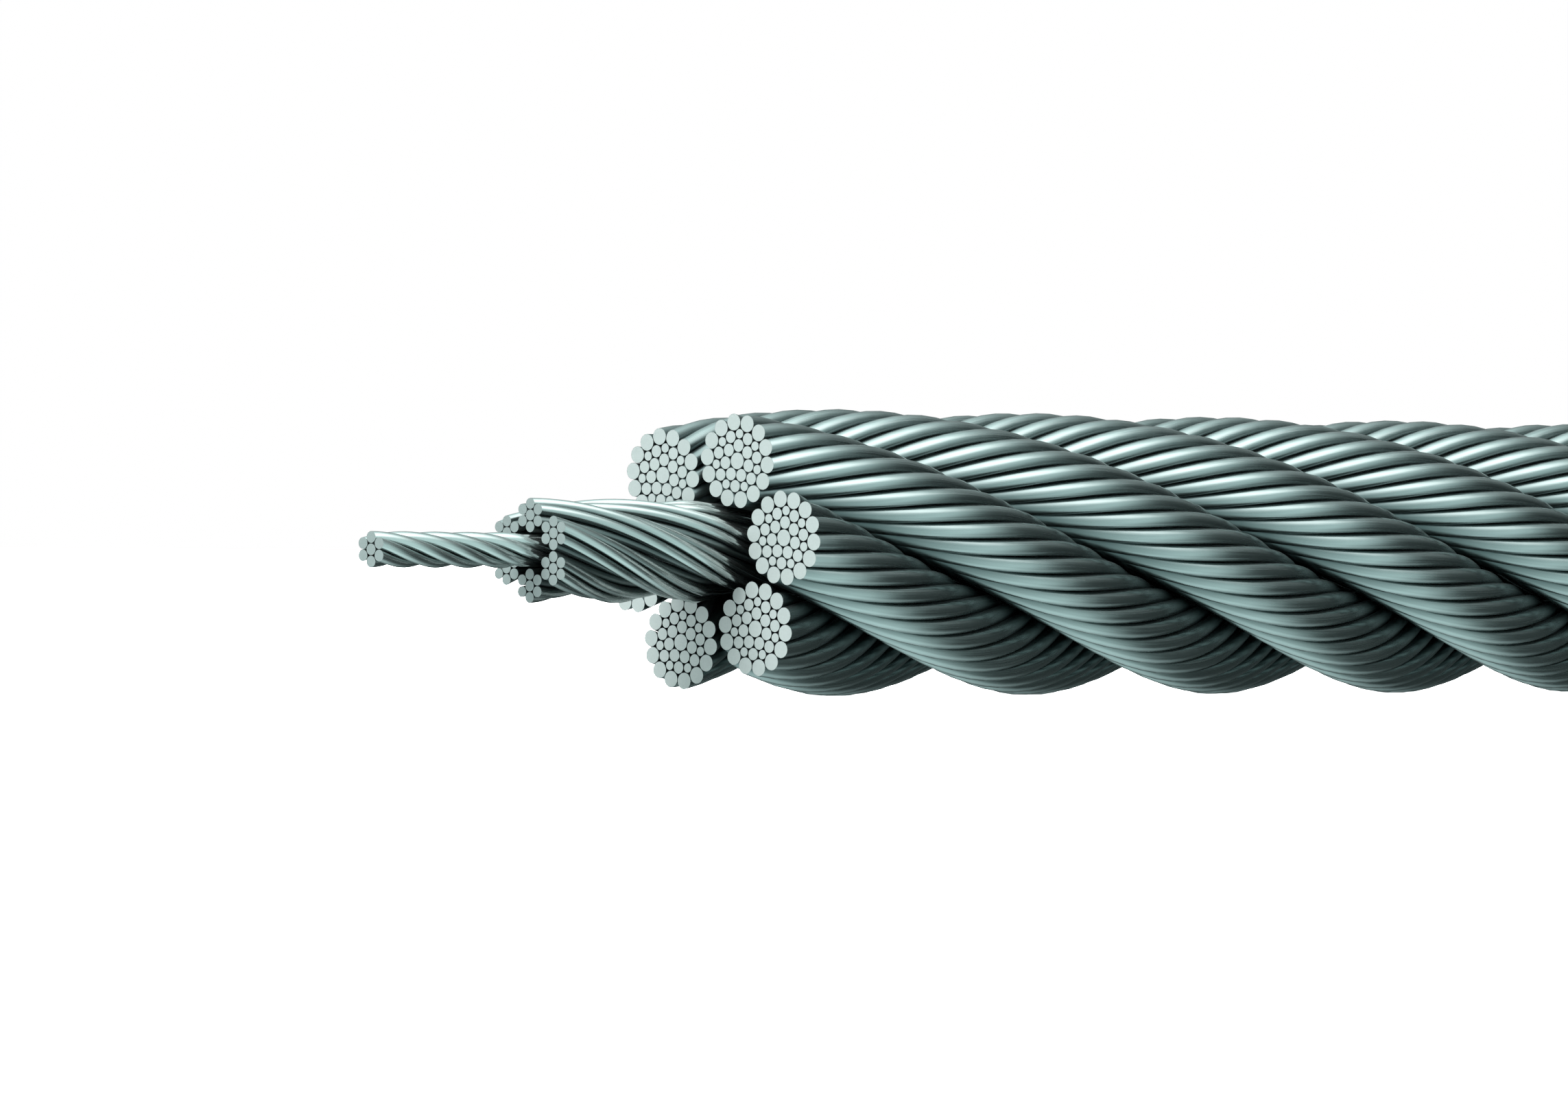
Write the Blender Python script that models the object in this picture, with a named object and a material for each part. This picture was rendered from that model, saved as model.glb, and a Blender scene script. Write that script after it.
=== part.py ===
"""Stepped length of steel wire rope, 6x36 Warrington-Seale with an independent wire rope core.

Six outer strands of 36 wires are laid right-handed around a core rope, which is six strands of
seven wires around a centre strand of seven. One end is cut in three steps, so that each layer
shows. The other end is cut square. The rope lies along X with its stepped end at -X.

Every section across X is drawn with round strands and round wires. A strand is made straight
and twisted first. Then each of its sections is moved sideways, without turning it, onto the
helix of its lay, so all strands of a layer show their wires the same way up at the cut face.
Metres, +Z up.
"""
import math

import bmesh
import bpy
from mathutils import Matrix, Vector

# The rope
ROPE_DIAMETER = 0.032
OVERALL_LENGTH = 0.3048
CORE_BARE_LENGTH = 0.0303
CENTRE_BARE_LENGTH = 0.0261
STRAND_COUNT = 6
STRAND_GAP = 0.0003
CORE_GAP = 0.00015
MOUTH_DEPTH = 0.004
WIRE_GAP = 0.00004

# A bared layer springs open: sizes of the core's pitch circle, of its strands and of the centre
# strand as shares of the closed ones, and the length over which they close before the mouth
OPEN_PITCH_SHARE = 1.055
OPEN_STRAND_SHARE = 1.07
OPEN_CENTRE_SHARE = 1.12
CLOSING_LENGTH = 0.003

# Length along the rope of one turn, right-handed for plus and left-handed for minus
ROPE_LAY = 0.208
OUTER_WIRE_LAY = -0.0842
CORE_LAY = 0.085
CORE_WIRE_LAY = 0.089
CENTRE_WIRE_LAY = 0.0316

# Wires in the rings of a 36-wire strand, and in the ring of a seven-wire strand. The middle,
# Warrington ring has a large and a small wire for each wire of the inner ring.
INNER_RING_WIRES = 7
OUTER_RING_WIRES = 2 * INNER_RING_WIRES
SEVEN_WIRE_RING = 6

# Angles about X, from +Y towards +Z, at the cut face of the layer
OUTER_STRAND_ANGLE = math.radians(171.48)
INNER_WIRE_ANGLE = math.radians(95.8)
CORE_STRAND_ANGLE = math.radians(30.0)
SEVEN_WIRE_ANGLE = math.radians(30.0)

# Most turn from one section to the next, and how the outlines follow the wires' round sides
OUTER_STEP_TURN = math.radians(26.0)
BARE_STEP_TURN = math.radians(19.0)
CENTRE_STEP_TURN = math.radians(29.0)
HIDDEN_STEP_TURN = math.radians(30.0)
HIDDEN_SIDES = 8
OUTER_FLANK_ANGLE = math.radians(70.0)
BARE_FLANK_ANGLE = math.radians(80.0)
BARE_CROWN_ANGLE = math.radians(35.0)
SMOOTH_BELOW = math.radians(80.0)

# Pits that show the gaps between the wires on a cut face
PIT_DEPTH = 0.0008
PIT_SHARE = 0.85
CUTTER_PROUD = 0.0001

# Colour (linear), metallic value and roughness of the drawn steel wire
OUTER_STEEL = (0.27, 0.35, 0.34, 1.0)
CORE_STEEL = (0.22, 0.30, 0.29, 1.0)
STEEL_METALLIC = 0.9
STEEL_ROUGHNESS = 0.36

FULL_TURN = 2.0 * math.pi
HALVINGS = 40

# Positions along the rope
TIP_X = -OVERALL_LENGTH / 2.0
CORE_FACE_X = TIP_X + CENTRE_BARE_LENGTH
OUTER_FACE_X = CORE_FACE_X + CORE_BARE_LENGTH
SQUARE_END_X = OVERALL_LENGTH / 2.0

# Six equal strands close around a seventh, each with its gap to the next
STRAND_RADIUS = (ROPE_DIAMETER / 2.0 - STRAND_GAP) / 3.0
STRAND_PITCH_RADIUS = ROPE_DIAMETER / 2.0 - STRAND_RADIUS
CORE_RADIUS = STRAND_PITCH_RADIUS - STRAND_RADIUS - CORE_GAP
CORE_STRAND_RADIUS = (CORE_RADIUS - CORE_GAP) / 3.0
CORE_PITCH_RADIUS = CORE_RADIUS - CORE_STRAND_RADIUS


def halved(low, high, too_low):
    """Value between two bounds at which a test turns from true to false."""
    for _ in range(HALVINGS):
        middle = (low + high) / 2.0
        if too_low(middle):
            low = middle
        else:
            high = middle
    return (low + high) / 2.0


def point_at(radius, angle):
    """Point of a section as a vector in the plane x = 0."""
    return Vector((0.0, radius * math.cos(angle), radius * math.sin(angle)))


def ring_in_strand(strand_radius, wire_count):
    """Wire radius and pitch radius of equal wires in a ring that fills a strand's radius."""
    share = math.sin(math.pi / wire_count)
    wire_radius = (strand_radius * share - WIRE_GAP / 2.0) / (1.0 + share)
    return wire_radius, strand_radius - wire_radius


def nested_wire(outer_ring, inner_ring, inner_turn):
    """Wire in a valley of the outer ring that also touches the inner ring.

    A ring is its wire radius and pitch radius. The turn is the angle to the nearest inner wire.
    """
    outer_wire = point_at(outer_ring[1], math.pi / OUTER_RING_WIRES)
    inner_wire = point_at(inner_ring[1], inner_turn)

    def room_outside(pitch):
        return (outer_wire - point_at(pitch, 0.0)).length - outer_ring[0] - WIRE_GAP

    def room_inside(pitch):
        return (inner_wire - point_at(pitch, 0.0)).length - inner_ring[0] - WIRE_GAP

    pitch = halved(inner_ring[1], outer_ring[1], lambda p: room_outside(p) > room_inside(p))
    return room_outside(pitch), pitch


def inner_ring_of(wire_radius):
    """Ring of touching inner wires, as wire radius and pitch radius."""
    return wire_radius, (wire_radius + WIRE_GAP / 2.0) / math.sin(math.pi / INNER_RING_WIRES)


def warrington_rings(outer_ring, wire_radius):
    """The large and the small Warrington wires that fit between the outer and inner rings."""
    inner_ring = inner_ring_of(wire_radius)
    large = nested_wire(outer_ring, inner_ring, math.pi / INNER_RING_WIRES)
    small = nested_wire(outer_ring, inner_ring, 0.0)
    return large, small


def wires_36():
    """Rings of a 36-wire strand: outer, large, small and inner, each as radius and pitch."""
    outer = ring_in_strand(STRAND_RADIUS, OUTER_RING_WIRES)

    def too_small(wire_radius):
        large, small = warrington_rings(outer, wire_radius)
        apart = point_at(large[1], 0.0) - point_at(small[1], math.pi / INNER_RING_WIRES)
        return apart.length < large[0] + small[0] + WIRE_GAP

    inner_radius = halved(0.0, outer[0], too_small)
    large, small = warrington_rings(outer, inner_radius)
    return outer, large, small, inner_ring_of(inner_radius)


def touching_point(wire_a, wire_b):
    """Where two wires of a section touch, each given as its radius and its centre."""
    share = wire_a[0] / (wire_a[0] + wire_b[0])
    return wire_a[1].lerp(wire_b[1], share)


def gaps_between_wires():
    """Corners of the gaps among the wires of a 36-wire strand, three points for each gap."""
    outer, large, small, inner = wires_36()
    king_radius = inner[1] - inner[0] - WIRE_GAP
    king = (king_radius, Vector())
    spacing = FULL_TURN / OUTER_RING_WIRES
    trios = []
    for index in range(OUTER_RING_WIRES):
        angle = INNER_WIRE_ANGLE + index * spacing
        ring, next_ring = (small, large) if index % 2 == 0 else (large, small)
        middle = (ring[0], point_at(ring[1], angle))
        middle_next = (next_ring[0], point_at(next_ring[1], angle + spacing))
        outer_before = (outer[0], point_at(outer[1], angle - spacing / 2.0))
        outer_after = (outer[0], point_at(outer[1], angle + spacing / 2.0))
        trios.append((outer_before, outer_after, middle))
        trios.append((middle, middle_next, outer_after))
        if index % 2:
            inner_before = (inner[0], point_at(inner[1], angle - spacing))
            inner_after = (inner[0], point_at(inner[1], angle + spacing))
            trios.append((inner_before, inner_after, middle))
            trios.append((inner_before, inner_after, king))
    return [(touching_point(a, b), touching_point(b, c), touching_point(c, a)) for a, b, c in trios]


def ring_outline(ring, wire_count, first_angle, crown_angles, flank_angle):
    """Outline around a ring: points on each wire's crown, then the valley to the next wire.

    Crown and flank angles are measured on the wire, from its point farthest out.
    """
    wire_radius, pitch_radius = ring
    valley_radius = pitch_radius + wire_radius * math.cos(flank_angle)
    points = []
    for index in range(wire_count):
        wire_angle = first_angle + FULL_TURN * index / wire_count
        for crown in crown_angles:
            points.append(point_at(pitch_radius, wire_angle) + point_at(wire_radius, wire_angle + crown))
        points.append(point_at(valley_radius, wire_angle + math.pi / wire_count))
    return points


def round_outline(radius):
    """Plain outline of a strand where it is hidden inside the rope."""
    return [point_at(radius, FULL_TURN * index / HIDDEN_SIDES) for index in range(HIDDEN_SIDES)]


def steps_for(length, lay, most_turn):
    """Sections needed so that the bar turns no more than the given angle between two of them."""
    return max(1, math.ceil(FULL_TURN * length / abs(lay) / most_turn))


def swept_bar(outline, start_x, length, turn, steps):
    """Closed bar swept along X from an outline that turns about X on the way."""
    bar = bmesh.new()
    start = Vector((start_x, 0.0, 0.0))
    face = bar.faces.new([bar.verts.new(start + point) for point in outline])
    bmesh.ops.spin(
        bar,
        geom=[face, *face.edges, *face.verts],
        cent=(0.0, 0.0, 0.0),
        axis=(1.0, 0.0, 0.0),
        dvec=(length / steps, 0.0, 0.0),
        angle=turn,
        steps=steps,
    )
    bmesh.ops.recalc_face_normals(bar, faces=bar.faces)
    return bar


def pit_cutter(gaps):
    """Three-sided points that stand in the gaps between wires and reach into the face at x = 0."""
    cutter = bmesh.new()
    depth = PIT_DEPTH + CUTTER_PROUD
    for corners in gaps:
        centre = sum(corners, Vector()) / len(corners)
        towards = corners[0] - centre
        size = PIT_SHARE * min((corner - centre).length for corner in corners)
        turn = Matrix.Rotation(math.atan2(towards.z, towards.y), 4, "X")
        place = Matrix.Translation(centre + Vector((depth / 2.0 - CUTTER_PROUD, 0.0, 0.0)))
        bmesh.ops.create_cone(
            cutter,
            cap_ends=True,
            segments=3,
            radius1=size * depth / PIT_DEPTH,
            radius2=0.0,
            depth=depth,
            matrix=place @ turn @ Matrix.Rotation(math.pi / 2.0, 4, "Y"),
        )
    return cutter


def new_object(name, mesh, collection):
    """Object that shows a mesh, linked to a collection."""
    thing = bpy.data.objects.new(name, mesh)
    collection.objects.link(thing)
    return thing


def new_collection(name):
    """Collection in the scene's own one."""
    collection = bpy.data.collections.new(name)
    bpy.context.scene.collection.children.link(collection)
    return collection


def mesh_from(name, shape):
    """Mesh from a bmesh, which is freed."""
    mesh = bpy.data.meshes.new(name)
    shape.to_mesh(mesh)
    shape.free()
    return mesh


def combined(name, base, other, operation, workshop):
    """Mesh of two shapes after a Boolean. Both of them are removed."""
    kept = new_object(name, mesh_from(name, base), workshop)
    tool = new_object(name + "_cutter", mesh_from(name + "_cutter", other), workshop)
    tool.hide_render = True
    tool.display_type = "WIRE"
    boolean = kept.modifiers.new("combine", "BOOLEAN")
    boolean.operation = operation
    boolean.solver = "EXACT"
    boolean.object = tool
    evaluated = kept.evaluated_get(bpy.context.evaluated_depsgraph_get())
    mesh = bpy.data.meshes.new_from_object(evaluated)
    bpy.data.objects.remove(kept, do_unlink=True)
    bpy.data.objects.remove(tool, do_unlink=True)
    return mesh


def outer_strand_blank(workshop):
    """Straight 36-wire strand, its face at x = 0 pitted where the wires leave gaps."""
    length = SQUARE_END_X - OUTER_FACE_X
    outer_ring = wires_36()[0]
    first_wire = INNER_WIRE_ANGLE + math.pi / OUTER_RING_WIRES
    outline = ring_outline(outer_ring, OUTER_RING_WIRES, first_wire, [0.0], OUTER_FLANK_ANGLE)
    steps = steps_for(length, OUTER_WIRE_LAY, OUTER_STEP_TURN)
    bar = swept_bar(outline, 0.0, length, FULL_TURN * length / OUTER_WIRE_LAY, steps)
    return combined("outer_blank", bar, pit_cutter(gaps_between_wires()), "DIFFERENCE", workshop)


def share_at(open_share, bare_length, along):
    """A layer's size as a share of its closed size: open where it is bare, closed in the mouth."""
    openness = min(max((bare_length - along) / CLOSING_LENGTH, 0.0), 1.0)
    return 1.0 + (open_share - 1.0) * openness


def seven_wire_blank(name, bare_length, length, open_share, wire_lay, wired_steps, plain_steps, workshop):
    """Straight seven-wire strand: the wires' outline where it is bare, then a plain round bar.

    The wires' outline goes on into the mouth of the layer outside. The plain bar starts a wire's
    width before that outline ends, so that the two make one body.
    """
    ring = ring_in_strand(CORE_STRAND_RADIUS, SEVEN_WIRE_RING)
    crowns = [-BARE_CROWN_ANGLE, BARE_CROWN_ANGLE]
    outline = ring_outline(ring, SEVEN_WIRE_RING, SEVEN_WIRE_ANGLE, crowns, BARE_FLANK_ANGLE)
    wired_length = bare_length + MOUTH_DEPTH
    wired = swept_bar(outline, 0.0, wired_length, FULL_TURN * wired_length / wire_lay, wired_steps)
    for vertex in wired.verts:
        vertex.co.yz *= share_at(open_share, bare_length, vertex.co.x)
    plain_start = wired_length - 2.0 * ring[0]
    plain_outline = round_outline(CORE_STRAND_RADIUS)
    plain = swept_bar(plain_outline, plain_start, length - plain_start, 0.0, plain_steps)
    return combined(name, wired, plain, "UNION", workshop)


def core_strand_blank(workshop):
    """Straight strand of the core rope."""
    length = SQUARE_END_X - CORE_FACE_X
    wired_steps = steps_for(CORE_BARE_LENGTH + MOUTH_DEPTH, CORE_LAY, BARE_STEP_TURN)
    plain_steps = steps_for(length - CORE_BARE_LENGTH, CORE_LAY, HIDDEN_STEP_TURN)
    return seven_wire_blank(
        "core_blank",
        CORE_BARE_LENGTH,
        length,
        OPEN_STRAND_SHARE,
        CORE_WIRE_LAY,
        wired_steps,
        plain_steps,
        workshop,
    )


def centre_strand_blank(workshop):
    """Straight strand at the middle of the core rope."""
    length = SQUARE_END_X - TIP_X
    wired_steps = steps_for(CENTRE_BARE_LENGTH + MOUTH_DEPTH, CENTRE_WIRE_LAY, CENTRE_STEP_TURN)
    return seven_wire_blank(
        "centre_blank",
        CENTRE_BARE_LENGTH,
        length,
        OPEN_CENTRE_SHARE,
        CENTRE_WIRE_LAY,
        wired_steps,
        1,
        workshop,
    )


def steel(name, colour):
    """Drawn steel in a material of its own."""
    material = bpy.data.materials.new(name)
    material.use_nodes = True
    shader = material.node_tree.nodes["Principled BSDF"]
    shader.inputs["Base Color"].default_value = colour
    shader.inputs["Metallic"].default_value = STEEL_METALLIC
    shader.inputs["Roughness"].default_value = STEEL_ROUGHNESS
    return material


def add_strand(name, mesh, face_x, colour, axis, collection):
    """Strand with its cut face at face_x, held by the empty on the rope's axis."""
    mesh.name = name
    mesh.materials.clear()
    mesh.materials.append(steel(name + "_steel", colour))
    mesh.shade_smooth()
    mesh.set_sharp_from_angle(angle=SMOOTH_BELOW)
    strand = new_object(name, mesh, collection)
    strand.parent = axis
    strand.location.x = face_x
    return strand


def outer_pitch(along):
    """Pitch radius of the outer strands, the same all along."""
    return STRAND_PITCH_RADIUS


def core_pitch(along):
    """Pitch radius of the core strands at a place along them."""
    return CORE_PITCH_RADIUS * share_at(OPEN_PITCH_SHARE, CORE_BARE_LENGTH, along)


def laid_mesh(blank, pitch_at, lay, first_angle):
    """Copy of a straight strand, each section moved onto the helix of its lay."""
    mesh = blank.copy()
    for vertex in mesh.vertices:
        along = vertex.co.x
        vertex.co += point_at(pitch_at(along), first_angle + FULL_TURN * along / lay)
    return mesh


def add_layer(name, blank, face_x, pitch_at, lay, first_angle, colour, axis, collection):
    """The like strands of a layer, side by side around the rope's axis."""
    strands = []
    for index in range(STRAND_COUNT):
        angle = first_angle + FULL_TURN * index / STRAND_COUNT
        mesh = laid_mesh(blank, pitch_at, lay, angle)
        strands.append(
            add_strand(f"{name}_{index + 1}", mesh, face_x, colour, axis, collection)
        )
    bpy.data.meshes.remove(blank)
    return strands


def rest_on_ground(axis, strands):
    """Raises the rope's axis until the lowest strand touches z = 0."""
    axis.location.z = -min(vertex.co.z for strand in strands for vertex in strand.data.vertices)


def build():
    for thing in list(bpy.data.objects):
        bpy.data.objects.remove(thing, do_unlink=True)
    rope = new_collection("stepped_wire_rope")
    workshop = new_collection("cutters")
    axis = new_object("rope_axis", None, rope)
    outer = add_layer(
        "outer_strand",
        outer_strand_blank(workshop),
        OUTER_FACE_X,
        outer_pitch,
        ROPE_LAY,
        OUTER_STRAND_ANGLE,
        OUTER_STEEL,
        axis,
        rope,
    )
    add_layer(
        "core_strand",
        core_strand_blank(workshop),
        CORE_FACE_X,
        core_pitch,
        CORE_LAY,
        CORE_STRAND_ANGLE,
        CORE_STEEL,
        axis,
        rope,
    )
    add_strand("centre_strand", centre_strand_blank(workshop), TIP_X, CORE_STEEL, axis, rope)
    rest_on_ground(axis, outer)


build()
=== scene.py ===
"""Looks of the stepped wire rope: every wire of its thirteen strands, the studio and the camera."""
import math

import bpy
import numpy as np
from mathutils import Matrix, Vector


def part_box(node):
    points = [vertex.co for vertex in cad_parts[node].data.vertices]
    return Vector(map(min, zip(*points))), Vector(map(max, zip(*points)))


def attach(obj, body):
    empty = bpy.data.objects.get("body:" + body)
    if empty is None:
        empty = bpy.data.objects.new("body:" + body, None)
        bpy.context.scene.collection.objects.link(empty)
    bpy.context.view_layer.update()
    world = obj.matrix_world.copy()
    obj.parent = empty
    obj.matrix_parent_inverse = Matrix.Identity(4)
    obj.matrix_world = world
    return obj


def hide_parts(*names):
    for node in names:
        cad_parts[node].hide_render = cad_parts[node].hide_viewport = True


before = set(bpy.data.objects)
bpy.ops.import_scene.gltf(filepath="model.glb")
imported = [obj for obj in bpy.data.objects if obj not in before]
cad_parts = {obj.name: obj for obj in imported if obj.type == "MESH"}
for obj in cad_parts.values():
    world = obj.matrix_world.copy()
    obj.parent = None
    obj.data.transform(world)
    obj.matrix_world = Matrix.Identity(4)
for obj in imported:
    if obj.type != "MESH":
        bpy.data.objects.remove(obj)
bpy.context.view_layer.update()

MM = 0.001
FULL_TURN = 2.0 * math.pi
HALVINGS = 40

# Places along the rope, from the frame
TIP_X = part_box("centre_strand")[0].x
SQUARE_END_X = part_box("centre_strand")[1].x
CORE_FACE_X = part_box("core_strand_1")[0].x
OUTER_FACE_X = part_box("outer_strand_1")[0].x
AXIS_Z = (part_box("centre_strand")[0].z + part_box("centre_strand")[1].z) / 2.0

# The rope's make, as in the CAD source
ROPE_RADIUS = 16.0 * MM
STRAND_COUNT = 6
STRAND_GAP = 0.3 * MM
CORE_GAP = 0.15 * MM
WIRE_GAP = 0.04 * MM
WARRINGTON_SLACK = 0.025 * MM
ROPE_LAY = 208.0 * MM
OUTER_WIRE_LAY = -84.2 * MM
CORE_LAY = 85.0 * MM
CORE_WIRE_LAY = 89.0 * MM
CENTRE_WIRE_LAY = 31.6 * MM
OPEN_PITCH_SHARE = 1.055
OPEN_STRAND_SHARE = 1.07
OPEN_CENTRE_SHARE = 1.12
CLOSING_LENGTH = 3.0 * MM
MOUTH_LENGTH = 4.0 * MM
INNER_RING_WIRES = 7
OUTER_RING_WIRES = 2 * INNER_RING_WIRES
SEVEN_WIRE_RING = 6
OUTER_STRAND_ANGLE = math.radians(171.48)
INNER_WIRE_ANGLE = math.radians(95.8)
CORE_STRAND_ANGLE = math.radians(30.0)
SEVEN_WIRE_ANGLE = math.radians(30.0)
STRAND_RADIUS = (ROPE_RADIUS - STRAND_GAP) / 3.0
STRAND_PITCH_RADIUS = ROPE_RADIUS - STRAND_RADIUS
CORE_RADIUS = STRAND_PITCH_RADIUS - STRAND_RADIUS - CORE_GAP
CORE_STRAND_RADIUS = (CORE_RADIUS - CORE_GAP) / 3.0
CORE_PITCH_RADIUS = CORE_RADIUS - CORE_STRAND_RADIUS

# How finely the wires are drawn
SHOWN_SIDES = 16
HIDDEN_SIDES = 12
OUTER_SPACING = 2.5 * MM
HIDDEN_SPACING = 5.0 * MM
BARE_SPACING = 1.2 * MM
CENTRE_SPACING = 0.8 * MM
SHARP_ABOVE = math.radians(50.0)

# Random seeds after those of the outer strands, and the furthest a wire's pattern is moved along it
CORE_SEED = 10
CENTRE_SEED = 20
PATTERN_SHIFT = 5.0

# A wire's strip of the bake map: its margin, its sides' height, and its cut faces above them
BAKE_MARGIN = 0.04
BAKE_SIDE_HEIGHT = 0.89
BAKE_FACE_HEIGHTS = (0.92, 0.97)
BAKE_FACE_RADIUS = 0.02
BAKE_FACE_SHARE = 0.45

# Drawn steel where it is bright and where it is dull, its roughness, and how strongly each layer's
# grooves and valleys are darkened with painted shade
OUTER_BRIGHT = (0.52, 0.58, 0.575, 1.0)
OUTER_DULL = (0.445, 0.50, 0.495, 1.0)
OUTER_ROUGHNESS = 0.22
OUTER_PAINTED_SHADE = 1.0
CORE_BRIGHT = (0.595, 0.645, 0.635, 1.0)
CORE_DULL = (0.525, 0.575, 0.565, 1.0)
CORE_ROUGHNESS = 0.23
CORE_PAINTED_SHADE = 0.85
CENTRE_PAINTED_SHADE = 0.25
# Colour of the painted shade deep in grooves and in the valleys between strands
PAINTED_SHADE_COLOUR = (0.014, 0.036, 0.038, 1.0)

# Its pattern, across in wire radii and along in metres. A range is where an effect begins and ends.
NOISE_RANGE = (0.3, 0.7)
LINE_SCALE = (8.0, 8.0, 60.0)
LINE_DETAIL = 4.0
LINE_ROUGHENING = (-0.05, 0.06)
STAIN_SCALE = (0.5, 0.5, 45.0)
STAIN_DETAIL = 3.0
STAIN_RANGE = (0.52, 0.75)
STAIN_SHARE = 0.35
# Painted shade deep in grooves and between strands, and the roughening there
GROOVE_DARK_RANGE = (0.0, 0.32)
GROOVE_DARK_SHARE = 0.55
GROOVE_ROUGH_RANGE = (0.3, 0.8)
GROOVE_ROUGHENING = 0.2
VALLEY_DARK_RANGE = (0.0, 0.95)
VALLEY_DARK_SHARE = 0.74
VALLEY_ROUGH_RANGE = (0.35, 0.9)
VALLEY_ROUGHENING = 0.14
BUMP_DISTANCE = 0.02 * MM
DRAWN_BUMP = 0.12

# Sawn wire ends. Their pattern is in metres, and the rim's range in wire radii.
CUT_PALE = (0.119, 0.139, 0.137, 1.0)
CUT_DULL = (0.108, 0.127, 0.125, 1.0)
# A darker copy of the cut-end colours for the core and centre strands: painted shade on their cut faces
CUT_CORE_SHADED_PALE = (0.065, 0.084, 0.083, 1.0)
CUT_CORE_SHADED_DULL = (0.059, 0.076, 0.075, 1.0)
CUT_METALLIC = 0.25
CUT_ROUGHNESS = (0.53, 0.67)
SAW_LINE_SCALE = (0.0, 1200.0, 9000.0)
SAW_GRAIN_SCALE = (0.0, 4000.0, 4000.0)
SAW_GRAIN_DETAIL = 2.0
SAW_BUMP = 0.2
# Painted shade at the rim of each cut face, next to the gaps between wires
RIM_RANGE = (0.93, 1.0)
RIM_SHARE = 0.7
RIM_SHADE_COLOUR = (0.02, 0.03, 0.03, 1.0)

# The photograph's camera, measured from the middle of the outer cut face
CAMERA_FROM_FACE = Vector((-1134.6, -945.0, 0.68)) * MM
VIEW_YAW = math.radians(39.47)
VIEW_PITCH = math.radians(-0.01)
VIEW_ROLL = math.radians(0.45)
LENS_MM = 308.0
SENSOR_MM = 36.0
CLIP_START = 0.05
CLIP_END = 50.0

# Soft studio light: its even fill, dark around one direction between two cosines, and softboxes as
# direction, cosine at the edge, strength, colour
FILL_STRENGTH = 1.0
FILL_COLOUR = (0.755, 1.0, 0.985)
FILL_DARK_TOWARDS = (1.0, 0.05, -0.05)
FILL_DARK_EDGE = (0.4, 0.8)
FILL_DARK_SHARE = 0.94
SOFTBOXES = (
    ((-0.57, -0.16, 0.80), 0.25, 3.35, (0.97, 1.0, 0.98)),
    ((-0.62, 0.00, 0.78), 0.92, 40.0, (1.0, 0.96, 0.95)),
    ((0.11, -0.68, 0.72), 0.8, 1.5, (1.0, 0.94, 0.93)),
    ((-0.06, -0.90, 0.43), 0.8, 0.9, (0.97, 1.0, 0.99)),
    ((-0.20, 0.33, 0.92), -0.3, 0.4, (0.85, 1.0, 0.99)),
    ((0.37, 0.10, -0.92), 0.7, 0.5, (0.78, 1.0, 1.0)),
    ((0.18, -0.85, -0.50), 0.8, 0.15, (0.75, 1.0, 0.99)),
)
WHITE = (1.0, 1.0, 1.0)

# Floor: its size in metres, its grey, its roughness and how much it glows
FLOOR_SIZE = 40.0
FLOOR_GREY = 0.80
FLOOR_ROUGHNESS = 0.9
FLOOR_GLOW = 1.0


def halved(low, high, too_low):
    """Value between two bounds at which a test turns from true to false."""
    for _ in range(HALVINGS):
        middle = (low + high) / 2.0
        if too_low(middle):
            low = middle
        else:
            high = middle
    return (low + high) / 2.0


def ring_in_strand(strand_radius, wire_count):
    """Wire radius and pitch radius of equal wires in a ring that fills a strand's radius."""
    share = math.sin(math.pi / wire_count)
    wire_radius = (strand_radius * share - WIRE_GAP / 2.0) / (1.0 + share)
    return wire_radius, strand_radius - wire_radius


def apart(pitch_a, pitch_b, turn):
    """Distance between two points of a section, given their radii and the angle between them."""
    return math.sqrt(pitch_a**2 + pitch_b**2 - 2.0 * pitch_a * pitch_b * math.cos(turn))


def nested_wire(outer_ring, inner_ring, inner_turn):
    """Wire in a valley of the outer ring that also touches the inner ring."""

    def room_outside(pitch):
        return apart(outer_ring[1], pitch, math.pi / OUTER_RING_WIRES) - outer_ring[0] - WIRE_GAP

    def room_inside(pitch):
        return apart(inner_ring[1], pitch, inner_turn) - inner_ring[0] - WIRE_GAP

    pitch = halved(inner_ring[1], outer_ring[1], lambda p: room_outside(p) > room_inside(p))
    return room_outside(pitch), pitch


def warrington_rings(outer_ring, inner_radius):
    """The large, the small and the inner wires of a 36-wire strand for an inner wire's radius."""
    inner = inner_radius, (inner_radius + WIRE_GAP / 2.0) / math.sin(math.pi / INNER_RING_WIRES)
    large = nested_wire(outer_ring, inner, math.pi / INNER_RING_WIRES)
    small = nested_wire(outer_ring, inner, 0.0)
    return large, small, inner


def wires_of_36(strand_radius):
    """Wires of a 36-wire strand, each as radius, pitch radius, angle and whether it is outside."""
    outer = ring_in_strand(strand_radius, OUTER_RING_WIRES)

    def too_small(inner_radius):
        large, small, _ = warrington_rings(outer, inner_radius)
        return apart(large[1], small[1], math.pi / INNER_RING_WIRES) < large[0] + small[0] + WIRE_GAP

    inner_radius = halved(0.0, outer[0], too_small)
    large, small, inner = warrington_rings(outer, inner_radius)
    spacing = FULL_TURN / OUTER_RING_WIRES
    wires = []
    for index in range(OUTER_RING_WIRES):
        angle = INNER_WIRE_ANGLE + index * spacing
        wires.append((outer[0], outer[1], angle + spacing / 2.0, True))
        radius, pitch = small if index % 2 == 0 else large
        wires.append((radius - WARRINGTON_SLACK, pitch, angle, False))
        if index % 2 == 0:
            wires.append((inner[0], inner[1], angle, False))
    wires.append((inner[1] - inner[0] - WIRE_GAP, 0.0, 0.0, False))
    return wires


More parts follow.
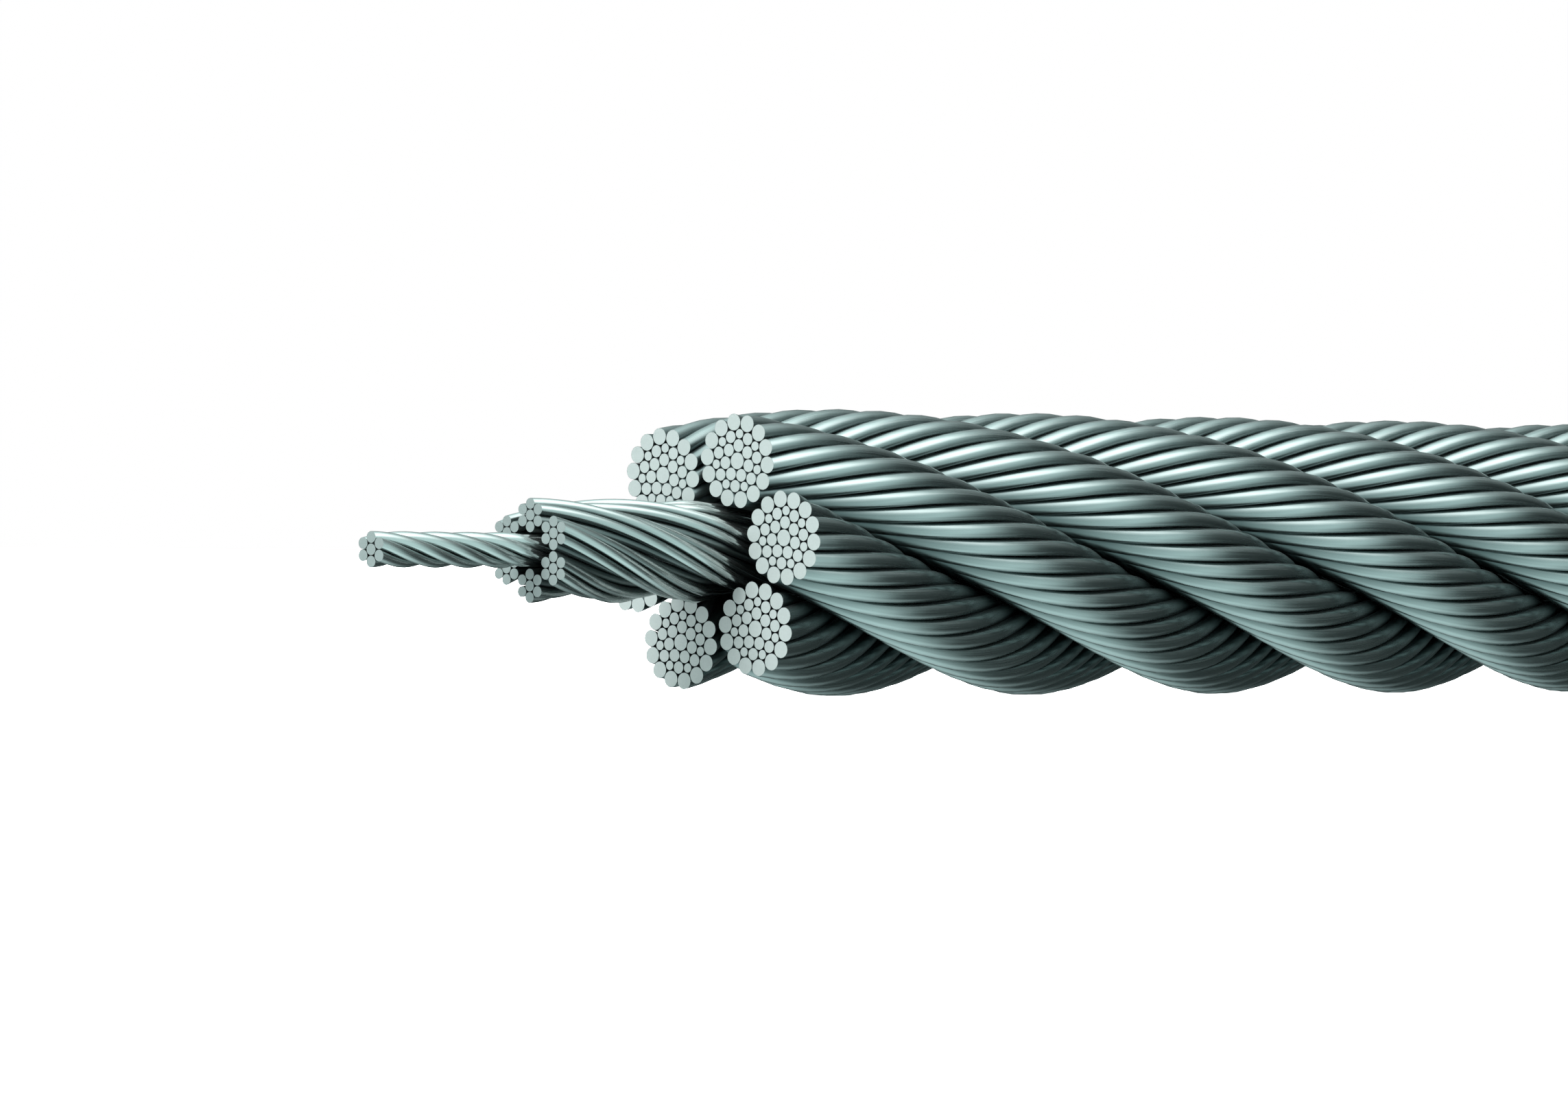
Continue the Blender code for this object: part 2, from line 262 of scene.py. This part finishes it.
def wires_of_7(strand_radius):
    """Wires of a seven-wire strand, in the same form."""
    radius, pitch = ring_in_strand(strand_radius, SEVEN_WIRE_RING)
    wires = []
    for index in range(SEVEN_WIRE_RING):
        wires.append((radius, pitch, SEVEN_WIRE_ANGLE + FULL_TURN * index / SEVEN_WIRE_RING, True))
    wires.append((pitch - radius - WIRE_GAP, 0.0, 0.0, False))
    return wires


def stations(start, *stretches):
    """Places of the sections along a wire. Each stretch is its end and its spacing."""
    places = [np.array([start])]
    for end, spacing in stretches:
        count = max(1, math.ceil((end - start) / spacing))
        places.append(np.linspace(start, end, count + 1)[1:])
        start = end
    return np.concatenate(places)


def circle(radius, angle):
    """Points at a radius and an angle about X, as columns y and z."""
    return np.stack([radius * np.cos(angle), radius * np.sin(angle)], axis=-1)


class WireMesh:
    """Gathers the wires of one piece, with the numbers that their materials read."""

    def __init__(self, seed, painted_shade_weight):
        self.random = np.random.default_rng(seed)
        self.painted_shade_weight = painted_shade_weight
        self.points = []
        self.faces = []
        self.face_material = []
        self.corner_uv = []
        self.pattern = []
        self.tone = []
        self.groove = []
        self.valley = []
        self.count = 0

    def add_wire(self, xs, axis, centres, radii, strand_radius, sides, strip):
        """One wire through its sections, capped at both ends.

        axis is the strand's middle at each section, and strip the wire's part of the bake map.
        groove grows from 0 on the strand's outside inwards, in wire diameters, and valley from 0
        on the outside of the layer to 1 where its strands lie closest together. The centre strand
        has no valley. Both are scaled by the layer's weight of painted shade, which also scales their
        roughening.
        """
        turns = np.arange(sides) / sides * FULL_TURN
        ring = circle(1.0, turns)
        yz = centres[:, None, :] + radii[:, None, None] * ring[None]
        x = np.repeat(xs[:, None], sides, axis=1)
        points = np.concatenate([x[..., None], yz], axis=-1)
        out = np.linalg.norm(yz - axis[:, None, :], axis=-1)
        groove = np.clip((strand_radius[:, None] - out) / (2.0 * radii[:, None]), 0.0, 1.0)
        pitch = np.linalg.norm(axis - [0.0, AXIS_Z], axis=-1)
        below_outside = (pitch + strand_radius)[:, None] - np.linalg.norm(yz - [0.0, AXIS_Z], axis=-1)
        valley = np.clip(below_outside / strand_radius[:, None], 0.0, 1.0)
        valley *= (pitch > 0.0)[:, None]
        shift = self.random.uniform(0.0, PATTERN_SHIFT)
        along = np.repeat((xs + shift)[:, None], sides, axis=1)
        across = np.broadcast_to(ring[None], yz.shape)
        self.points.append(points.reshape(-1, 3))
        self.pattern.append(np.concatenate([across, along[..., None]], axis=-1).reshape(-1, 3))
        # Depth in grooves and valleys, which the material turns into painted shade and roughening
        self.groove.append(self.painted_shade_weight * groove.reshape(-1))
        self.valley.append(self.painted_shade_weight * valley.reshape(-1))
        self.tone.append(np.full(xs.size * sides, self.random.uniform(0.0, 1.0)))
        self.add_faces(xs, turns, strip)
        self.count += xs.size * sides

    def add_faces(self, xs, turns, strip):
        """Sides as quads and the two cut faces, with their places on the bake map."""
        rows, sides = xs.size, turns.size
        left, width = strip
        up = (xs - xs[0]) / (xs[-1] - xs[0]) * BAKE_SIDE_HEIGHT
        for row in range(rows - 1):
            for side in range(sides):
                following = (side + 1) % sides
                low, high = self.count + row * sides, self.count + (row + 1) * sides
                self.faces.append((low + side, low + following, high + following, high + side))
                u0 = left + width * side / sides
                u1 = left + width * (side + 1) / sides
                v0, v1 = up[row], up[row + 1]
                self.corner_uv += [(u0, v0), (u1, v0), (u1, v1), (u0, v1)]
        self.face_material += [0] * ((rows - 1) * sides)
        middle = left + width / 2.0
        size = min(BAKE_FACE_SHARE * width, BAKE_FACE_RADIUS)
        for row, height, order in zip((0, rows - 1), BAKE_FACE_HEIGHTS, (-1, 1)):
            start = self.count + row * sides
            self.faces.append(tuple(start + side for side in range(sides)[::order]))
            for turn in turns[::order]:
                self.corner_uv.append((middle + size * math.cos(turn), height + size * math.sin(turn)))
            self.face_material.append(1)

    def to_object(self, name, materials):
        """Makes the Blender object, its faces smooth but for the cut ones."""
        mesh = bpy.data.meshes.new(name)
        mesh.from_pydata(np.concatenate(self.points).tolist(), [], self.faces)
        for material in materials:
            mesh.materials.append(material)
        mesh.polygons.foreach_set("material_index", np.array(self.face_material))
        mesh.shade_smooth()
        mesh.set_sharp_from_angle(angle=SHARP_ABOVE)
        uv_map = mesh.uv_layers.new(name="OFBake")
        uv_map.uv.foreach_set("vector", np.array(self.corner_uv, dtype=np.float32).ravel())
        pattern = mesh.attributes.new("wire_space", "FLOAT_VECTOR", "POINT")
        pattern.data.foreach_set("vector", np.concatenate(self.pattern).astype(np.float32).ravel())
        numbers = {"wire_tone": self.tone, "groove": self.groove, "valley": self.valley}
        for label, values in numbers.items():
            held = mesh.attributes.new(label, "FLOAT", "POINT")
            held.data.foreach_set("value", np.concatenate(values).astype(np.float32))
        mesh.update()
        piece = bpy.data.objects.new(name, mesh)
        bpy.context.scene.collection.objects.link(piece)
        return piece


def strips(wires):
    """Side-by-side parts of the bake map for the wires, as wide as each is around."""
    total = sum(wire[0] for wire in wires)
    left = 0.0
    for wire in wires:
        width = wire[0] / total
        yield left + BAKE_MARGIN * width, (1.0 - 2.0 * BAKE_MARGIN) * width
        left += width


def share_at(open_share, face_x, xs):
    """A layer's size as a share of its closed size: open where it is bare, closed in the mouth."""
    openness = np.clip((face_x - xs) / CLOSING_LENGTH, 0.0, 1.0)
    return 1.0 + (open_share - 1.0) * openness * openness * (3.0 - 2.0 * openness)


def outer_path(turn):
    """Middle of an outer strand, and its growth, at places along the rope."""

    def path(xs):
        angles = OUTER_STRAND_ANGLE + turn + FULL_TURN * (xs - OUTER_FACE_X) / ROPE_LAY
        return circle(STRAND_PITCH_RADIUS, angles), np.ones(xs.size)

    return path


def core_path(turn):
    """The same of a core strand, which springs open where it is bare."""

    def path(xs):
        angles = CORE_STRAND_ANGLE + turn + FULL_TURN * (xs - CORE_FACE_X) / CORE_LAY
        opened = share_at(OPEN_PITCH_SHARE, OUTER_FACE_X, xs)[:, None]
        return circle(CORE_PITCH_RADIUS, angles) * opened, share_at(OPEN_STRAND_SHARE, OUTER_FACE_X, xs)

    return path


def centre_path(xs):
    """The same of the centre strand, which is straight."""
    return np.zeros((xs.size, 2)), share_at(OPEN_CENTRE_SHARE, CORE_FACE_X, xs)


def outer_sections(outside):
    """Sections and sides of a wire in an outer strand, fewer where it is hidden."""
    spacing = OUTER_SPACING if outside else HIDDEN_SPACING
    return stations(OUTER_FACE_X, (SQUARE_END_X, spacing)), SHOWN_SIDES if outside else HIDDEN_SIDES


def core_sections(_outside):
    """The same of any wire in a core strand, close together where it is bare."""
    mouth = OUTER_FACE_X + MOUTH_LENGTH
    xs = stations(CORE_FACE_X, (mouth, BARE_SPACING), (SQUARE_END_X, HIDDEN_SPACING))
    return xs, SHOWN_SIDES


def centre_sections(_outside):
    """The same of any wire in the centre strand."""
    mouth = CORE_FACE_X + MOUTH_LENGTH
    xs = stations(TIP_X, (mouth, CENTRE_SPACING), (SQUARE_END_X, OUTER_SPACING))
    return xs, SHOWN_SIDES


def strand(node, wires, path, wire_lay, face_x, sections, materials, seed, painted_shade_weight):
    """One strand in its node's place: its wires around its middle, which follows its path."""
    made = WireMesh(seed, painted_shade_weight)
    strand_radius = max(wire[0] + wire[1] for wire in wires)
    for wire, strip in zip(wires, strips(wires)):
        radius, wire_pitch, wire_angle, outside = wire
        xs, sides = sections(outside)
        middle, share = path(xs)
        offset = circle(wire_pitch, wire_angle + FULL_TURN * (xs - face_x) / wire_lay)
        axis = middle + [0.0, AXIS_Z]
        centres = axis + offset * share[:, None]
        made.add_wire(xs, axis, centres, radius * share, strand_radius * share, sides, strip)
    piece = made.to_object(f"{node}_wires", materials)
    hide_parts(node)
    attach(piece, "root")
    return piece


def principled(name):
    """New material with its node tree and its Principled shader."""
    material = bpy.data.materials.new(name)
    material.use_nodes = True
    tree = material.node_tree
    return material, tree, tree.nodes["Principled BSDF"]


def attribute(tree, name, output="Fac"):
    """Number or vector that the mesh holds at each of its points."""
    node = tree.nodes.new("ShaderNodeAttribute")
    node.attribute_name = name
    return node.outputs[output]


def noise(tree, vector, scale, detail):
    """Noise over a vector that is first scaled by axis."""
    mapping = tree.nodes.new("ShaderNodeMapping")
    mapping.inputs["Scale"].default_value = scale
    tree.links.new(vector, mapping.inputs["Vector"])
    texture = tree.nodes.new("ShaderNodeTexNoise")
    texture.inputs["Scale"].default_value = 1.0
    texture.inputs["Detail"].default_value = detail
    tree.links.new(mapping.outputs["Vector"], texture.inputs["Vector"])
    return texture.outputs["Fac"]


def remap(tree, value, source, target, kind="LINEAR"):
    """Value moved from one range to another, held inside it."""
    node = tree.nodes.new("ShaderNodeMapRange")
    node.interpolation_type = kind
    for label, number in zip(("From Min", "From Max", "To Min", "To Max"), source + target):
        node.inputs[label].default_value = number
    tree.links.new(value, node.inputs["Value"])
    return node.outputs["Result"]


def math_node(tree, operation, a, b):
    """Sum, difference or the like of two numbers, each a number or a socket."""
    node = tree.nodes.new("ShaderNodeMath")
    node.operation = operation
    for socket, value in zip(node.inputs, (a, b)):
        if isinstance(value, float):
            socket.default_value = value
        else:
            tree.links.new(value, socket)
    return node.outputs[0]


def vector_math(tree, operation, vector, other=None):
    """Node for a vector and another one that is the same everywhere."""
    node = tree.nodes.new("ShaderNodeVectorMath")
    node.operation = operation
    tree.links.new(vector, node.inputs[0])
    if other is not None:
        node.inputs[1].default_value = other
    return node


def mixed(tree, factor, colour_a, colour_b):
    """Mix of two colours, each a tuple or a socket."""
    node = tree.nodes.new("ShaderNodeMix")
    node.data_type = "RGBA"
    tree.links.new(factor, node.inputs["Factor"])
    for socket, colour in ((node.inputs[6], colour_a), (node.inputs[7], colour_b)):
        if isinstance(colour, tuple):
            socket.default_value = colour
        else:
            tree.links.new(colour, socket)
    return node.outputs[2]


def steel_shade(tree, lines):
    """How bright the steel is, from its lines and from the wire's own tone, by halves."""
    by_line = remap(tree, lines, NOISE_RANGE, (0.0, 0.5))
    by_wire = remap(tree, attribute(tree, "wire_tone"), (0.0, 1.0), (0.0, 0.5))
    return math_node(tree, "ADD", by_line, by_wire)


def add_bump(tree, shader, height, strength):
    """Fine relief of the surface."""
    bump = tree.nodes.new("ShaderNodeBump")
    bump.inputs["Strength"].default_value = strength
    bump.inputs["Distance"].default_value = BUMP_DISTANCE
    tree.links.new(height, bump.inputs["Height"])
    tree.links.new(bump.outputs["Normal"], shader.inputs["Normal"])


def drawn_steel(name, bright, dull, roughness):
    """Wire as it leaves the die: fine lines along it, with painted shade where it lies deep, in grooves
    and valleys.
    """
    material, tree, shader = principled(name)
    shader.inputs["Metallic"].default_value = 1.0
    space = attribute(tree, "wire_space", "Vector")
    groove = attribute(tree, "groove")
    valley = attribute(tree, "valley")
    lines = noise(tree, space, LINE_SCALE, LINE_DETAIL)
    stains = noise(tree, space, STAIN_SCALE, STAIN_DETAIL)

    metal = mixed(tree, steel_shade(tree, lines), dull, bright)
    stained = mixed(tree, remap(tree, stains, STAIN_RANGE, (0.0, STAIN_SHARE)), metal, dull)
    # Painted shade: darker deep in the grooves and in the valleys between strands
    groove_shade = remap(tree, groove, GROOVE_DARK_RANGE, (0.0, GROOVE_DARK_SHARE))
    valley_shade = remap(tree, valley, VALLEY_DARK_RANGE, (0.0, VALLEY_DARK_SHARE))
    colour = mixed(tree, valley_shade, mixed(tree, groove_shade, stained, PAINTED_SHADE_COLOUR), PAINTED_SHADE_COLOUR)
    tree.links.new(colour, shader.inputs["Base Color"])

    rough_line = remap(tree, lines, NOISE_RANGE, tuple(roughness + more for more in LINE_ROUGHENING))
    rough_groove = remap(tree, groove, GROOVE_ROUGH_RANGE, (0.0, GROOVE_ROUGHENING))
    rough_valley = remap(tree, valley, VALLEY_ROUGH_RANGE, (0.0, VALLEY_ROUGHENING))
    rough = math_node(tree, "ADD", math_node(tree, "ADD", rough_line, rough_groove), rough_valley)
    tree.links.new(rough, shader.inputs["Roughness"])
    add_bump(tree, shader, lines, DRAWN_BUMP)
    return material


def cut_steel(name, pale, dull):
    """Sawn wire end: matt, with painted shade at its rim next to the gaps between wires, and fine saw
    lines straight across the whole cut.
    """
    material, tree, shader = principled(name)
    shader.inputs["Metallic"].default_value = CUT_METALLIC
    place = tree.nodes.new("ShaderNodeTexCoord").outputs["Object"]
    lines = noise(tree, place, SAW_LINE_SCALE, LINE_DETAIL)
    grain = noise(tree, place, SAW_GRAIN_SCALE, SAW_GRAIN_DETAIL)
    flat = vector_math(tree, "MULTIPLY", attribute(tree, "wire_space", "Vector"), (1.0, 1.0, 0.0))
    from_centre = vector_math(tree, "LENGTH", flat.outputs["Vector"])
    # Painted shade at the rim, next to the gaps between wires
    rim_shade = remap(tree, from_centre.outputs["Value"], RIM_RANGE, (0.0, RIM_SHARE))
    colour = mixed(tree, rim_shade, mixed(tree, steel_shade(tree, lines), dull, pale), RIM_SHADE_COLOUR)
    tree.links.new(colour, shader.inputs["Base Color"])
    tree.links.new(remap(tree, grain, NOISE_RANGE, CUT_ROUGHNESS), shader.inputs["Roughness"])
    add_bump(tree, shader, lines, SAW_BUMP)
    return material


def make_strands():
    """All thirteen strands, in place of their CAD nodes."""
    outer_steel = (
        drawn_steel("drawn_wire", OUTER_BRIGHT, OUTER_DULL, OUTER_ROUGHNESS),
        cut_steel("cut_wire_end", CUT_PALE, CUT_DULL),
    )
    core_steel = (
        drawn_steel("core_wire", CORE_BRIGHT, CORE_DULL, CORE_ROUGHNESS),
        cut_steel("cut_core_end", CUT_CORE_SHADED_PALE, CUT_CORE_SHADED_DULL),
    )
    for number in range(1, STRAND_COUNT + 1):
        turn = FULL_TURN * (number - 1) / STRAND_COUNT
        piece = strand(
            f"outer_strand_{number}", wires_of_36(STRAND_RADIUS), outer_path(turn), OUTER_WIRE_LAY,
            OUTER_FACE_X, outer_sections, outer_steel, number, OUTER_PAINTED_SHADE,
        )
        piece = strand(
            f"core_strand_{number}", wires_of_7(CORE_STRAND_RADIUS), core_path(turn), CORE_WIRE_LAY,
            CORE_FACE_X, core_sections, core_steel, CORE_SEED + number, CORE_PAINTED_SHADE,
        )
    piece = strand(
        "centre_strand", wires_of_7(CORE_STRAND_RADIUS), centre_path, CENTRE_WIRE_LAY,
        TIP_X, centre_sections, core_steel, CENTRE_SEED, CENTRE_PAINTED_SHADE,
    )


def make_camera():
    """Camera where the photograph was taken from, a long lens level with the rope's axis."""
    camera = bpy.data.objects.new("camera", bpy.data.cameras.new("camera"))
    bpy.context.scene.collection.objects.link(camera)
    level = math.cos(VIEW_PITCH)
    ahead = Vector((math.cos(VIEW_YAW) * level, math.sin(VIEW_YAW) * level, math.sin(VIEW_PITCH)))
    right = ahead.cross(Vector((0.0, 0.0, 1.0))).normalized()
    up = right.cross(ahead)
    rolled_right = right * math.cos(VIEW_ROLL) + up * math.sin(VIEW_ROLL)
    rolled_up = up * math.cos(VIEW_ROLL) - right * math.sin(VIEW_ROLL)
    turn = Matrix((rolled_right, rolled_up, -ahead)).transposed()
    place = Vector((OUTER_FACE_X, 0.0, AXIS_Z)) + CAMERA_FROM_FACE
    camera.matrix_world = Matrix.Translation(place) @ turn.to_4x4()
    camera.data.lens = LENS_MM
    camera.data.sensor_width = SENSOR_MM
    camera.data.clip_start = CLIP_START
    camera.data.clip_end = CLIP_END
    bpy.context.scene.camera = camera


def facing(tree, direction, towards, edge, amount):
    """Number that grows from none to its amount as a direction nears another."""
    near = vector_math(tree, "DOT_PRODUCT", direction, Vector(towards).normalized())
    return remap(tree, near.outputs["Value"], edge, (0.0, amount), "SMOOTHSTEP")


def lit(tree, colour, strength):
    """Background of one colour, its strength a number or a socket."""
    node = tree.nodes.new("ShaderNodeBackground")
    node.inputs["Color"].default_value = colour + (1.0,)
    if isinstance(strength, float):
        node.inputs["Strength"].default_value = strength
    else:
        tree.links.new(strength, node.inputs["Strength"])
    return node.outputs[0]


def make_world():
    """White to the camera. The metal sees a soft studio, brightest above the cut end.

    It is dark along the rope, towards its square end.
    """
    world = bpy.data.worlds.new("studio")
    bpy.context.scene.world = world
    world.use_nodes = True
    tree = world.node_tree
    tree.nodes.clear()
    direction = tree.nodes.new("ShaderNodeTexCoord").outputs["Generated"]
    dark = facing(tree, direction, FILL_DARK_TOWARDS, FILL_DARK_EDGE, FILL_STRENGTH * FILL_DARK_SHARE)
    light = lit(tree, FILL_COLOUR, math_node(tree, "SUBTRACT", FILL_STRENGTH, dark))
    for towards, edge, strength, colour in SOFTBOXES:
        box = lit(tree, colour, facing(tree, direction, towards, (edge, 1.0), strength))
        added = tree.nodes.new("ShaderNodeAddShader")
        tree.links.new(light, added.inputs[0])
        tree.links.new(box, added.inputs[1])
        light = added.outputs[0]
    mix = tree.nodes.new("ShaderNodeMixShader")
    tree.links.new(tree.nodes.new("ShaderNodeLightPath").outputs["Is Camera Ray"], mix.inputs[0])
    tree.links.new(light, mix.inputs[1])
    tree.links.new(lit(tree, WHITE, 1.0), mix.inputs[2])
    output = tree.nodes.new("ShaderNodeOutputWorld")
    tree.links.new(mix.outputs[0], output.inputs["Surface"])


def make_studio():
    """Pale floor, bright enough to be white, which the metal doesn't mirror."""
    material, _, shader = principled("pale_floor")
    shader.inputs["Base Color"].default_value = (FLOOR_GREY, FLOOR_GREY, FLOOR_GREY, 1.0)
    shader.inputs["Roughness"].default_value = FLOOR_ROUGHNESS
    shader.inputs["Emission Color"].default_value = WHITE + (1.0,)
    shader.inputs["Emission Strength"].default_value = FLOOR_GLOW
    bpy.ops.mesh.primitive_plane_add(size=FLOOR_SIZE, location=(0.0, 0.0, 0.0))
    floor = bpy.context.object
    floor.name = "floor"
    floor.data.materials.append(material)
    floor.visible_glossy = False


make_strands()
make_camera()
make_world()
make_studio()
bpy.context.scene.view_settings.view_transform = "Standard"
